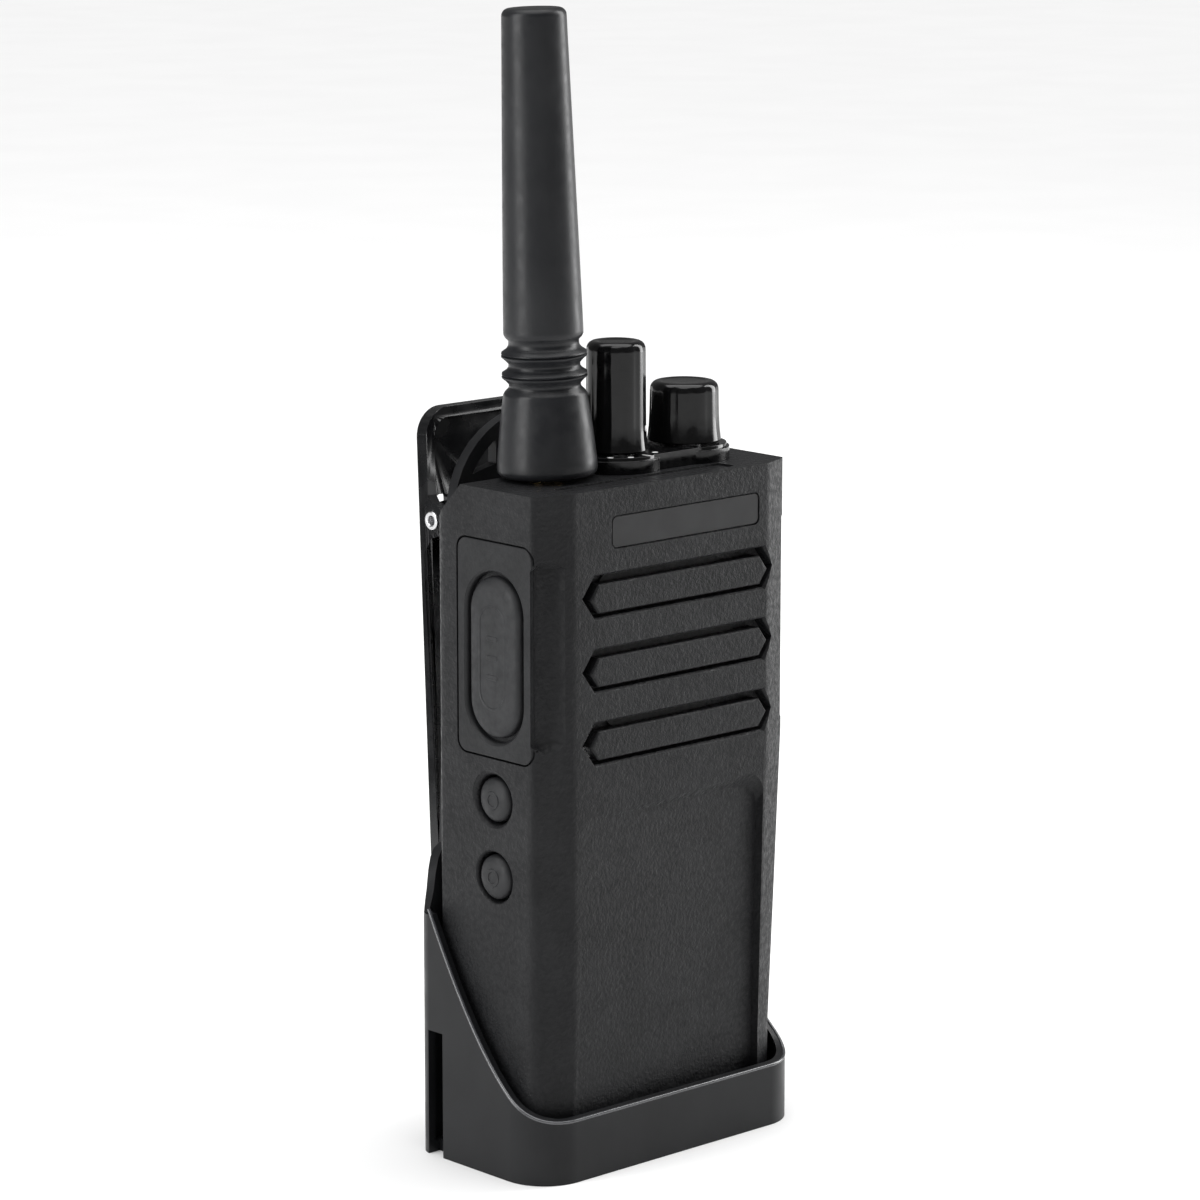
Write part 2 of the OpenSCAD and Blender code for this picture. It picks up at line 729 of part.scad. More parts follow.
module clip_base() {
  color([0.04, 0.04, 0.045])
  difference() {
    union() {
      along_y(y_base, y_base + base_t) translate([0, 82]) rrect(30, 54, 4);
      for (s = [-1, 1]) along_x(s*15 - 1, s*15 + 1) {
        translate([pin_y, pin_z]) circle(3);
        polygon([[y_base, 95], [y_base, 107.6], [pin_y, pin_z + 3], [pin_y + 1, pin_z - 2.8]]);
      }
    }
    rod_x(pin_y, pin_z, pin_r, -20, 20);
    rod_y(0, swivel_z, 3, y_base - 1, y_base + 5);
  }
}

// Stud that turns in the back plate, with a head on the radio's side
module swivel_hub() {
  color([0.6, 0.61, 0.63]) {
    rod_y(0, swivel_z, 7.8, y_plate + 0.15, y_plate + 0.75);
    rod_y(0, swivel_z, hub_r, y_plate + 0.75, y_base);
    rod_y(0, swivel_z, 3, y_base, y_base + base_t);
  }
}

// Outer face of the clip at the pin's height, before it leans
clip_y = pin_y + 3.2;
module lean_clip() {
  translate([0, clip_y, pin_z]) rotate([-lean, 0, 0]) translate([0, -clip_y, -pin_z]) children();
}

module clip_lever() {
  mid = (clip_top + clip_tip)/2;
  tall = clip_top - clip_tip;
  color([0.03, 0.03, 0.033])
  difference() {
    union() {
      lean_clip() {
        difference() {
          along_y(clip_y - 2.4, clip_y) translate([0, mid]) rrect(clip_w, tall, 5);
          along_y(clip_y - 5, clip_y - 1.4) translate([0, mid]) rrect(clip_w - 3.6, tall - 3.6, 3.2);
        }
        for (x = [-9, 9])
          slab([x - 0.7, x + 0.7], [clip_y - 2.2, clip_y - 1], [clip_tip + 1, clip_top - 24]);
      }
      for (s = [-1, 1]) along_x(s*(clip_hw - 0.9) - 0.9, s*(clip_hw - 0.9) + 0.9) {
        translate([pin_y, pin_z]) circle(2.9);
        polygon([[pin_y, pin_z - 2.9], [clip_y - 1, pin_z - 6], [clip_y - 0.8, pin_z + 6],
          [pin_y, pin_z + 2.9]]);
      }
      along_x(-12, 12) polygon([[16, clip_tip + 1], [16.4, clip_tip + 0.4], [22.8, clip_tip + 0.4],
        [22.8, clip_tip + 6], [21.6, clip_tip + 6], [20.6, clip_tip + 3.2], [16.4, clip_tip + 2.2]]);
    }
    rod_x(pin_y, pin_z, pin_r + run, -20, 20);
    // slots that clear the base's ears, and the window that the spring sits in
    for (s = [-1, 1]) along_y(pin_y + 1, clip_y + 3) translate([s*15, pin_z]) rrect(2.8, 7.6, 0.8);
    along_y(pin_y + 1, clip_y + 3) translate([0, pin_z + 0.3]) rrect(15, 10.4, 1.5);
  }
}

module clip_pin() {
  color([0.8, 0.8, 0.82])
  difference() {
    rod_x(pin_y, pin_z, pin_r, -clip_hw - 0.3, clip_hw + 0.3);
    for (s = [-1, 1]) rod_x(pin_y, pin_z, 0.8, s*(clip_hw - 1) - 1.4, s*(clip_hw - 1) + 1.4);
  }
}

// Torsion spring round the pin: one leg up the base, one hooked behind the lever's window
module clip_spring() {
  r = 2.5;
  turns = 5.5;
  steps = 14;
  n = turns*steps;
  coil = [for (i = [0:n]) [-5 + 10*i/n, pin_y - r*cos(360*i/steps), pin_z - r*sin(360*i/steps)]];
  fixed_leg = [[-5, pin_y - r - 2.8, pin_z + 5], [-5, pin_y - r - 2.2, pin_z + 3.6],
    [-5, pin_y - r - 0.3, pin_z + 1.4]];
  free_leg = [[5, pin_y + r, pin_z + 1.6], [5, pin_y + r - 0.3, pin_z + 4]];
  path = concat(fixed_leg, coil, free_leg);
  color([0.75, 0.75, 0.78]) wire(path, 0.45, [1, 0, 0], 8);
}

front_housing();
name_plate();
housing_gasket();
rear_housing();
battery_door();
battery_latch();
battery_pack();
battery_pad();
battery_contacts();
charge_contacts();
chassis();
main_board();
board_chips();
rf_shield();
housing_screws();
speaker_cloth();
speaker_frame();
speaker_cone();
speaker_magnet();
microphone();
ptt_panel();
ptt_key();
upper_button();
lower_button();
switch_board();
switch_domes();
jack_block();
jack_flap();
top_plate();
knob_seals();
channel_switch();
channel_shaft();
channel_knob();
volume_control();
volume_shaft();
volume_knob();
antenna_sheath();
antenna_coil();
antenna_core();
antenna_stud();
antenna_nut();
holster();
clip_base();
swivel_hub();
clip_lever();
clip_pin();
clip_spring();
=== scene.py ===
"""Handheld two-way radio in its belt holster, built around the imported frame."""
import math

import bmesh
import bpy
from mathutils import Matrix, Vector


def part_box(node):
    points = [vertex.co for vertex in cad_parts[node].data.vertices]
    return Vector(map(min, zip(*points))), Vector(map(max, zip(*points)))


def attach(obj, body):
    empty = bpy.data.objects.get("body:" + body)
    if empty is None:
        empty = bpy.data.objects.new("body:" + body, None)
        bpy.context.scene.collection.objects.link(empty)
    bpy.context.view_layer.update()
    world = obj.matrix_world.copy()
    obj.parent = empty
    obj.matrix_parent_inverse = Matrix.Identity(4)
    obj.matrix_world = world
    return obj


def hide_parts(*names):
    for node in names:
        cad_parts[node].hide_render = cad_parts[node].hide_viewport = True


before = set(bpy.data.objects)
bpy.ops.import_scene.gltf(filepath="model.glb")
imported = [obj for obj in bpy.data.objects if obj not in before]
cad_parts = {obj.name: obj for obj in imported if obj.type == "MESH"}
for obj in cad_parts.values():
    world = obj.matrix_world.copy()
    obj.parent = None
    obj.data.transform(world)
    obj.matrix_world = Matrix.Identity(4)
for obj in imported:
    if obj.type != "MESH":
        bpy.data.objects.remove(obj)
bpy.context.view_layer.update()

MM = 0.001
FLAT_AREA = 25 * MM * MM

# ---------- places and sizes, in millimetres, taken from the frame ----------


def span(node, axis):
    """Lowest and highest value of a node along an axis, in millimetres."""
    low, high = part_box(node)
    return low[axis] / MM, high[axis] / MM


SHOULDER = span("front_housing", 0)[1]
FRONT, SEAM = span("front_housing", 1)
FOOT, DECK = span("front_housing", 2)
PLATE_TOP = span("top_plate", 2)[1]
TAPER = 1.0
TAPER_LOW = 16.0
TAPER_HIGH = 68.0


def middle(node, axis):
    """Middle of a node along an axis, in millimetres."""
    low, high = span(node, axis)
    return (low + high) / 2


# ---------- mesh helpers ----------


def polygon(bm, points):
    """One flat face through the given points."""
    return bm.faces.new([bm.verts.new(p) for p in points])


def push(bm, face, step):
    """Extrudes a face by a step and gives back the new vertices."""
    made = bmesh.ops.extrude_face_region(bm, geom=[face])["geom"]
    verts = [g for g in made if isinstance(g, bmesh.types.BMVert)]
    bmesh.ops.translate(bm, verts=verts, vec=step)
    return verts


def prism(outline, axis, low, high):
    """Closed block: an outline of two coordinates, pushed along the third axis."""
    bm = bmesh.new()
    at = {"x": lambda a, b: (low, a, b), "y": lambda a, b: (a, low, b), "z": lambda a, b: (a, b, low)}[axis]
    step = {"x": (high - low, 0, 0), "y": (0, high - low, 0), "z": (0, 0, high - low)}[axis]
    push(bm, polygon(bm, [at(a, b) for a, b in outline]), step)
    bmesh.ops.recalc_face_normals(bm, faces=bm.faces)
    return bm


def round_rect(cx, cy, w, h, r, steps=6):
    """Outline of a rectangle with round corners."""
    points = []
    for k, (sx, sy) in enumerate([(1, 1), (-1, 1), (-1, -1), (1, -1)]):
        for i in range(steps + 1):
            a = math.radians(90 * (k + i / steps))
            corner = (cx + sx * (w / 2 - r), cy + sy * (h / 2 - r))
            points.append((corner[0] + r * math.cos(a), corner[1] + r * math.sin(a)))
    return points


def join(into, other):
    """Copies one bmesh into another."""
    mesh = bpy.data.meshes.new("join")
    other.to_mesh(mesh)
    other.free()
    into.from_mesh(mesh)
    bpy.data.meshes.remove(mesh)
    return into


def lathe(profile, steps=64, axis="z", at=(0, 0, 0)):
    """Solid of revolution: (radius, height) points turned about Z or X through a place."""
    bm = bmesh.new()
    verts = [bm.verts.new((r, 0, h)) for r, h in profile]
    edges = [bm.edges.new(pair) for pair in zip(verts, verts[1:])]
    bmesh.ops.spin(bm, geom=verts + edges, cent=(0, 0, 0), axis=(0, 0, 1), dvec=(0, 0, 0),
                   angle=math.tau, steps=steps, use_merge=True, use_duplicate=False)
    bmesh.ops.remove_doubles(bm, verts=bm.verts, dist=1e-4)
    bmesh.ops.recalc_face_normals(bm, faces=bm.faces)
    turn = {"z": Matrix(), "x": Matrix.Rotation(math.pi / 2, 4, "Y")}[axis]
    bmesh.ops.transform(bm, matrix=Matrix.Translation(at) @ turn, verts=bm.verts)
    return bm


def as_object(bm, name):
    """Makes an object of a bmesh that is in millimetres."""
    bmesh.ops.scale(bm, vec=(MM, MM, MM), verts=bm.verts)
    mesh = bpy.data.meshes.new(name)
    bm.to_mesh(mesh)
    bm.free()
    obj = bpy.data.objects.new(name, mesh)
    bpy.context.scene.collection.objects.link(obj)
    return obj


def apply_modifiers(obj):
    """Turns an object's modifiers into plain mesh."""
    bpy.context.view_layer.update()
    graph = bpy.context.evaluated_depsgraph_get()
    mesh = bpy.data.meshes.new_from_object(obj.evaluated_get(graph))
    old = obj.data
    obj.modifiers.clear()
    obj.data = mesh
    bpy.data.meshes.remove(old)
    return obj


def carve(obj, *cutters, ready=()):
    """Cuts closed bmeshes, in millimetres, and ready-made objects out of an object."""
    tools = []
    for i, tool in enumerate([*ready, *(as_object(bm, f"cutter_{n}") for n, bm in enumerate(cutters))]):
        mod = obj.modifiers.new(f"cut_{i}", "BOOLEAN")
        mod.operation = "DIFFERENCE"
        mod.solver = "EXACT"
        mod.object = tool
        tools.append(tool)
    apply_modifiers(obj)
    for tool in tools:
        mesh = tool.data
        bpy.data.objects.remove(tool)
        bpy.data.meshes.remove(mesh)
    return obj


def merge_into(obj, other):
    """Joins a second closed object to the first by an exact union."""
    mod = obj.modifiers.new("merge", "BOOLEAN")
    mod.operation = "UNION"
    mod.solver = "EXACT"
    mod.use_self = True
    mod.object = other
    apply_modifiers(obj)
    mesh = other.data
    bpy.data.objects.remove(other)
    bpy.data.meshes.remove(mesh)
    return obj


def clean(obj, flat_deg=1.0):
    """Merges double vertices and joins the triangles of flat faces."""
    bm = bmesh.new()
    bm.from_mesh(obj.data)
    bmesh.ops.remove_doubles(bm, verts=bm.verts, dist=2e-6)
    bmesh.ops.dissolve_limit(bm, angle_limit=math.radians(flat_deg), use_dissolve_boundaries=False,
                             verts=bm.verts, edges=bm.edges, delimit=set())
    bm.to_mesh(obj.data)
    bm.free()
    return obj


def round_edges(obj, width, segments=3, angle=30.0):
    """Rounds every edge sharper than the angle, by a width in millimetres."""
    mod = obj.modifiers.new("edges", "BEVEL")
    mod.width = width * MM
    mod.segments = segments
    mod.limit_method = "ANGLE"
    mod.angle_limit = math.radians(angle)
    mod.use_clamp_overlap = True
    mod.miter_outer = "MITER_ARC"
    return apply_modifiers(obj)


def shade(obj, angle=40.0, weighted=True):
    """Smooth shading that keeps large faces flat and edges past the angle sharp."""
    mesh = obj.data
    mesh.polygons.foreach_set("use_smooth", [p.area < FLAT_AREA for p in mesh.polygons])
    mesh.set_sharp_from_angle(angle=math.radians(angle))
    if weighted:
        mod = obj.modifiers.new("normals", "WEIGHTED_NORMAL")
        mod.keep_sharp = True
        mod.weight = 60
        apply_modifiers(obj)
    return obj


def softened(node, width, segments=2, angle=30.0):
    """A copy of a CAD node with its edges rounded, to stand for that node."""
    obj = bpy.data.objects.new(node + "_skin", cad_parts[node].data.copy())
    bpy.context.scene.collection.objects.link(obj)
    obj.data.materials.clear()
    clean(obj)
    round_edges(obj, width, segments, angle)
    return shade(obj)


# ---------- materials ----------


class Recipe:
    """A Principled material and short ways to add procedural detail to it."""

    def __init__(self, name, colour, roughness, **sockets):
        self.material = bpy.data.materials.new(name)
        self.material.use_nodes = True
        self.tree = self.material.node_tree
        self.shader = self.tree.nodes["Principled BSDF"]
        self.shader.inputs["Base Color"].default_value = (*colour, 1)
        self.shader.inputs["Roughness"].default_value = roughness
        for key, value in sockets.items():
            self.shader.inputs[key.replace("_", " ")].default_value = value
        self.colour = colour
        self.place = self.tree.nodes.new("ShaderNodeTexCoord").outputs["Object"]
        self.normal = None

    def stretch(self, scale):
        """The object's coordinates, scaled unevenly."""
        node = self.tree.nodes.new("ShaderNodeMapping")
        node.inputs["Scale"].default_value = scale
        self.tree.links.new(self.place, node.inputs["Vector"])
        return node.outputs["Vector"]

    def noise(self, size_mm, detail=2.0, rough=0.5, place=None):
        """Noise whose blobs are about size_mm across."""
        node = self.tree.nodes.new("ShaderNodeTexNoise")
        node.inputs["Scale"].default_value = 1000 / size_mm
        node.inputs["Detail"].default_value = detail
        node.inputs["Roughness"].default_value = rough
        self.tree.links.new(place or self.place, node.inputs["Vector"])
        return node.outputs["Fac"]

    def cells(self, size_mm):
        """Distance to the nearest of scattered points, as in a moulded grain."""
        node = self.tree.nodes.new("ShaderNodeTexVoronoi")
        node.inputs["Scale"].default_value = 1000 / size_mm
        self.tree.links.new(self.place, node.inputs["Vector"])
        return node.outputs["Distance"]

    def spread(self, value, low, high, from_low=0.35, from_high=0.65):
        """Maps a pattern to a range of numbers."""
        node = self.tree.nodes.new("ShaderNodeMapRange")
        node.inputs["From Min"].default_value = from_low
        node.inputs["From Max"].default_value = from_high
        node.inputs["To Min"].default_value = low
        node.inputs["To Max"].default_value = high
        self.tree.links.new(value, node.inputs["Value"])
        return node.outputs["Result"]

    def tint(self, value, other, from_low=0.35, from_high=0.65):
        """Blends the base colour towards another by a pattern."""
        node = self.tree.nodes.new("ShaderNodeMix")
        node.data_type = "RGBA"
        node.inputs["A"].default_value = (*self.colour, 1)
        node.inputs["B"].default_value = (*other, 1)
        self.tree.links.new(self.spread(value, 0, 1, from_low, from_high), node.inputs["Factor"])
        self.tree.links.new(node.outputs["Result"], self.shader.inputs["Base Color"])
        return self

    def gloss(self, value, low, high):
        """Roughness that varies with a pattern."""
        self.tree.links.new(self.spread(value, low, high), self.shader.inputs["Roughness"])
        return self

    def bump(self, value, depth_mm, strength=1.0):
        """Raises the surface by a pattern, on top of any earlier bump."""
        node = self.tree.nodes.new("ShaderNodeBump")
        node.inputs["Strength"].default_value = strength
        node.inputs["Distance"].default_value = depth_mm * MM
        self.tree.links.new(value, node.inputs["Height"])
        if self.normal:
            self.tree.links.new(self.normal, node.inputs["Normal"])
        self.normal = node.outputs["Normal"]
        self.tree.links.new(self.normal, self.shader.inputs["Normal"])
        return self


def grained_plastic():
    """Near-black moulded plastic with a coarse leathery grain."""
    mat = Recipe("grained_plastic", (0.0085, 0.0087, 0.0095), 0.48, Specular_IOR_Level=0.19)
    grain = mat.noise(0.62, 3.0, 0.6)
    mat.tint(mat.noise(9, 3), (0.0125, 0.0128, 0.0138))
    mat.gloss(mat.noise(0.9, 2), 0.36, 0.6)
    mat.bump(mat.noise(14, 2), 0.05, 0.35)
    return mat.bump(grain, 0.16, 1.0).material


def side_plastic():
    """The same plastic with the finer grain of the sides and the key panel."""
    mat = Recipe("fine_grained_plastic", (0.010, 0.0103, 0.0112), 0.5, Specular_IOR_Level=0.22)
    mat.tint(mat.noise(7, 3), (0.0145, 0.015, 0.016))
    mat.gloss(mat.noise(0.8, 2), 0.44, 0.58)
    return mat.bump(mat.noise(0.4, 3, 0.6), 0.04, 0.8).material


def key_rubber():
    """Matt rubber of the keys and the socket flap."""
    mat = Recipe("key_rubber", (0.011, 0.0115, 0.0125), 0.44, Specular_IOR_Level=0.3)
    mat.tint(mat.noise(4, 3), (0.018, 0.0185, 0.02))
    mat.gloss(mat.noise(1.2, 2), 0.46, 0.62)
    return mat.bump(mat.noise(0.25, 3, 0.6), 0.018, 0.7).material


def sheath_rubber():
    """Satin moulded rubber of the antenna, with faint draw lines."""
    mat = Recipe("sheath_rubber", (0.0085, 0.009, 0.0105), 0.36, Specular_IOR_Level=0.26)
    mat.tint(mat.noise(12, 3), (0.0145, 0.015, 0.0165))
    mat.gloss(mat.noise(2.0, 3), 0.3, 0.42)
    lines = mat.noise(1.2, 2, 0.5, mat.stretch((1, 1, 0.05)))
    mat.bump(lines, 0.02, 0.4)
    return mat.bump(mat.noise(0.35, 2), 0.012, 0.5).material


def gloss_black():
    """Polished black plastic with faint hairlines."""
    mat = Recipe("gloss_black", (0.003, 0.003, 0.0033), 0.14, Specular_IOR_Level=0.36)
    mat.tint(mat.noise(5, 2), (0.0048, 0.0048, 0.0052))
    mat.gloss(mat.noise(1.5, 4), 0.08, 0.2)
    return mat.bump(mat.noise(3, 2), 0.01, 0.25).material


def holster_plastic():
    """Smooth satin black plastic of the holster."""
    mat = Recipe("holster_plastic", (0.0075, 0.0078, 0.0086), 0.32, Specular_IOR_Level=0.22)
    mat.tint(mat.noise(16, 3), (0.011, 0.0114, 0.0124))
    mat.gloss(mat.noise(5, 4), 0.29, 0.42)
    mat.bump(mat.noise(20, 2), 0.06, 0.3)
    return mat.bump(mat.noise(0.3, 2), 0.006, 0.5).material


def clip_plastic():
    """Semi-gloss black plastic of the clip."""
    mat = Recipe("clip_plastic", (0.0045, 0.0046, 0.0052), 0.26, Specular_IOR_Level=0.4)
    mat.tint(mat.noise(10, 3), (0.0075, 0.0078, 0.0086))
    mat.gloss(mat.noise(4, 4), 0.18, 0.34)
    return mat.bump(mat.noise(0.4, 2), 0.006, 0.5).material


def metal(name, colour, low, high, grain_mm=0.5, streaks=(1, 1, 1)):
    """A bare metal with fine scratches."""
    mat = Recipe(name, colour, (low + high) / 2, Metallic=1.0)
    scratch = mat.noise(grain_mm, 3, 0.6, mat.stretch(streaks))
    mat.tint(mat.noise(3, 3), tuple(c * 0.82 for c in colour))
    mat.gloss(scratch, low, high)
    return mat.bump(scratch, 0.01, 0.4).material


def plain(name, colour, low, high, grain_mm=0.4, depth_mm=0.015, **sockets):
    """A simple moulded or coated surface with its own fine grain."""
    mat = Recipe(name, colour, (low + high) / 2, **sockets)
    mat.tint(mat.noise(4, 3), tuple(min(1, c * 1.3 + 0.002) for c in colour))
    mat.gloss(mat.noise(1.0, 3), low, high)
    return mat.bump(mat.noise(grain_mm, 3, 0.6), depth_mm, 0.7).material


GRAIN = grained_plastic()
FINE_GRAIN = side_plastic()
KEY = key_rubber()
SHEATH = sheath_rubber()
GLOSS = gloss_black()
HOLSTER = holster_plastic()
CLIP = clip_plastic()
# Painted highlight: a lighter, very glossy colour for the thin bead on the holster's rim, standing in for
# the bright line of light along the rim's edge.
PAINTED_RIM_HIGHLIGHT = plain("painted_rim_highlight", (0.045, 0.046, 0.05), 0.16, 0.26, 2.0, 0.003, Specular_IOR_Level=0.9)
STEEL = metal("bright_steel", (0.62, 0.62, 0.63), 0.2, 0.36, 0.3, (1, 0.2, 1))
CAST = metal("cast_alloy", (0.5, 0.51, 0.53), 0.42, 0.6, 0.8)
BRASS = metal("plated_brass", (0.78, 0.58, 0.28), 0.22, 0.38)
COPPER = metal("enamelled_copper", (0.62, 0.28, 0.14), 0.25, 0.4)
TIN = metal("tinned_sheet", (0.66, 0.67, 0.68), 0.3, 0.48, 0.4, (1, 1, 0.1))
PRINT = plain("printed_white", (0.72, 0.72, 0.72), 0.45, 0.6, 0.2, 0.004)
BADGE = plain("blank_badge", (0.009, 0.0092, 0.0098), 0.36, 0.46, 0.25, 0.006, Specular_IOR_Level=0.3)
SEAL = plain("seal_rubber", (0.02, 0.02, 0.021), 0.6, 0.75)
WRAP = plain("battery_film", (0.03, 0.05, 0.14), 0.22, 0.36, 1.5, 0.02)
FOAM = plain("foam", (0.05, 0.05, 0.053), 0.85, 0.95, 0.5, 0.12)
CLOTH = plain("speaker_cloth", (0.01, 0.01, 0.01), 0.8, 0.95, 0.3, 0.08)
PAPER = plain("pressed_paper", (0.05, 0.042, 0.034), 0.75, 0.9, 0.3, 0.04)
BOARD = plain("solder_mask", (0.008, 0.07, 0.03), 0.25, 0.4, 0.8, 0.01)
CHIP = plain("moulded_epoxy", (0.014, 0.014, 0.015), 0.4, 0.55, 0.2, 0.01)
FORMER = plain("natural_nylon", (0.6, 0.59, 0.54), 0.4, 0.55)

CAD_FINISH = {
    "housing_gasket": SEAL, "battery_pack": WRAP, "battery_pad": FOAM, "battery_contacts": BRASS,
    "charge_contacts": BRASS, "chassis": CAST, "main_board": BOARD, "board_chips": CHIP, "rf_shield": TIN,
    "housing_screws": STEEL, "speaker_cloth": CLOTH, "speaker_frame": CHIP, "speaker_cone": PAPER,
    "speaker_magnet": STEEL, "microphone": STEEL, "switch_board": BOARD, "switch_domes": STEEL,
    "jack_block": CHIP, "knob_seals": SEAL, "channel_switch": CHIP, "channel_shaft": STEEL,
    "volume_control": CHIP, "volume_shaft": STEEL, "antenna_coil": COPPER, "antenna_core": FORMER,
    "antenna_stud": BRASS, "antenna_nut": STEEL, "swivel_hub": STEEL, "clip_spring": STEEL,
}

# ---------- sizes of the radio's front ----------

SLOPE_LEFT = 7.2
SLOPE_RIGHT = 6.0
SLOPE_DEPTH = 2.4
DECK_SLOPE = SEAM - 3.2
FACE_FALL = TAPER / (TAPER_HIGH - TAPER_LOW)
PANEL_Y = middle("ptt_panel", 1) - 0.15
PANEL_Z = middle("ptt_panel", 2)
PANEL_SIZE = (17.8, 35.6, 2.0)
KEY_Y = middle("ptt_key", 1)
KEY_Z = middle("ptt_key", 2)
KEY_SIZE = (12.3, 26.9)
BUTTON_Y = middle("upper_button", 1)
BUTTON_ZS = [middle("upper_button", 2), middle("lower_button", 2)]
SLOT_ZS = [96.8, 84.65, 72.5]
SLOT_LEFT = -19.7
SLOT_RIGHT = 24.5
SLOT_H = 7.5
BAR_DROP = 0.4
FIELD_X = (-20.6, 22.0)
INSET_Z = (70, 104.5)
SOCKET_Y = -5.8
SOCKET_ZS = (93.5, 82.0)
SCOOP_SAG = 1.5
ANTENNA_HEIGHT = 76.2
ANTENNA_LEAN = -1.1
RIM_LOW = 10.6
RIM_SWEEP = 0.111


def place(obj, body, material, slot, *nodes):
    """Gives a piece its material and body, and says which CAD nodes it stands for. The slot argument is not
    used.
    """
    obj.data.materials.clear()
    obj.data.materials.append(material)
    obj.data.polygons.foreach_set("material_index", [0] * len(obj.data.polygons))
    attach(obj, body)
    if nodes:
        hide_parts(*nodes)
    return obj


def grow(bm, face, ring):
    """Extrudes a face and moves its corners onto a new ring of points."""
    corners = [v.co.copy() for v in face.verts]
    buried = any(len(edge.link_faces) > 1 for edge in face.edges)
    made = bmesh.ops.extrude_face_region(bm, geom=[face])["geom"]
    if buried and face.is_valid:
        bmesh.ops.delete(bm, geom=[face], context="FACES_ONLY")
    cap = [g for g in made if isinstance(g, bmesh.types.BMFace)][0]
    for vert in cap.verts:
        nearest = min(range(len(corners)), key=lambda i: (corners[i] - vert.co).length)
        vert.co = ring[nearest]
    return cap


def stack(rings):
    """Closed block grown from its first ring of points through the others."""
    bm = bmesh.new()
    face = polygon(bm, rings[0])
    for ring in rings[1:]:
        face = grow(bm, face, ring)
    bmesh.ops.recalc_face_normals(bm, faces=bm.faces)
    return bm


def mound(shape, profile, steps=12):
    """Closed block across X with a rounded-rectangle plan, drawn in along a profile of (inset, X)."""
    cy, cz, w, h, r = shape
    rings = []
    for inset, x in profile:
        outline = round_rect(cy, cz, w - 2 * inset, h - 2 * inset, max(r - inset, 0.05), steps)
        rings.append([Vector((x, y, z)) for y, z in outline])
    return stack(rings)


# ---------- front housing ----------


def body_ring(z, inset, corner):
    """Plan of the body at one height; corner is how far the slope-to-side edges are rounded."""
    half = SHOULDER - inset
    face = FRONT + inset

    def side(sign, width):
        tip = Vector((sign * half, face + SLOPE_DEPTH, z))
        start = Vector((sign * (half - width), face, z))
        on_slope = tip + (start - tip).normalized() * corner
        on_side = tip + Vector((0, corner, 0))
        curve = [on_side.lerp(tip, t).lerp(tip.lerp(on_slope, t), t) for t in (0, 0.25, 0.5, 0.75, 1)]
        soft = (start - tip).normalized() * -0.5
        return [Vector((sign * half, SEAM, z)), *curve, start + soft, start - Vector((sign * 0.5, 0, 0))]

    return side(-1, SLOPE_LEFT) + side(1, SLOPE_RIGHT)[::-1]


def body_block():
    """The outer block of the front housing, grown ring by ring, with its rims rounded."""
    bm = bmesh.new()
    middle_height = (TAPER_LOW + TAPER_HIGH) / 2
    levels = [(FOOT, TAPER, 2.6), (TAPER_LOW, TAPER, 2.6), (middle_height, TAPER / 2, 1.7)]
    levels += [(TAPER_HIGH, 0, 1.0), (DECK, 0, 1.0)]
    face = polygon(bm, body_ring(*levels[0]))
    for level in levels[1:]:
        face = grow(bm, face, body_ring(*level))
    bmesh.ops.recalc_face_normals(bm, faces=bm.faces)
    rims = [e for e in bm.edges if e.verts[0].co.z == e.verts[1].co.z and e.verts[0].co.z in (FOOT, DECK)
            and min(e.verts[0].co.y, e.verts[1].co.y) < SEAM - 0.01]
    bmesh.ops.bevel(bm, geom=rims, offset=1.1, offset_type="OFFSET", segments=4, profile=0.5,
                    affect="EDGES", material=-1, clamp_overlap=True)
    return bm


def slot_outline(z, inset, drop=0):
    """A slot pointed at both ends, drawn in by an inset and lowered by a drop."""
    low, high = SLOT_LEFT + inset * 1.5, SLOT_RIGHT - inset * 1.5
    h = SLOT_H / 2 - inset
    nose = 2.8 * h / (SLOT_H / 2)
    points = [(low, z), (low + nose, z + h), (high - nose, z + h)]
    points += [(high, z), (high - nose, z - h), (low + nose, z - h)]
    return [(x, y - drop) for x, y in points]


def slot_groove(z):
    """Ring cutter round a slot's bar: deep all round, wide above the bar, with a sloping lip below it."""
    def block(profile, drop):
        return stack([[Vector((x, FRONT + depth, y)) for x, y in slot_outline(z, inset, drop)]
                      for inset, depth in profile])

    ring = as_object(block([(-0.9, -1), (0, 0.05), (0.3, 0.45), (0.45, 2.4)], 0), "ring")
    bar = block([(1.35, 3.4), (1.35, 0.35), (1.55, 0.1), (1.95, -0.02), (1.95, -2)], BAR_DROP)
    return carve(ring, bar)


def lower_field():
    """The long sunk field of the lower front: a soft step at its top, a crisp one on its right."""
    low, high = FIELD_X
    outline = round_rect((low + high) / 2, 27, high - low, 70, 4.0, 8)

    def surface(x, z, depth):
        return FRONT + (TAPER_HIGH - z) * FACE_FALL + depth

    bm = bmesh.new()
    face = polygon(bm, [(x, FRONT - 1, z) for x, z in outline])
    face = grow(bm, face, [Vector((x, surface(x, z, -0.06), z)) for x, z in outline])
    deep = []
    for x, z in outline:
        right = (x - low) / (high - low)
        inner_x = x + 1.6 if right < 0.3 else x - 0.45 if right > 0.7 else x
        inner_z = z - 2.2 if z > 40 else z
        deep.append(Vector((inner_x, surface(inner_x, inner_z, 0.3 + 1.1 * right), inner_z)))
    grow(bm, face, deep)
    bmesh.ops.triangulate(bm, faces=bm.faces)
    bmesh.ops.recalc_face_normals(bm, faces=bm.faces)
    return bm


def name_field():
    """Shallow seat of the blank name plate."""
    outline = round_rect(middle("name_plate", 0), middle("name_plate", 2), 33.5, 5.5, 1.1)
    return prism(outline, "y", FRONT - 1, FRONT + 0.4)


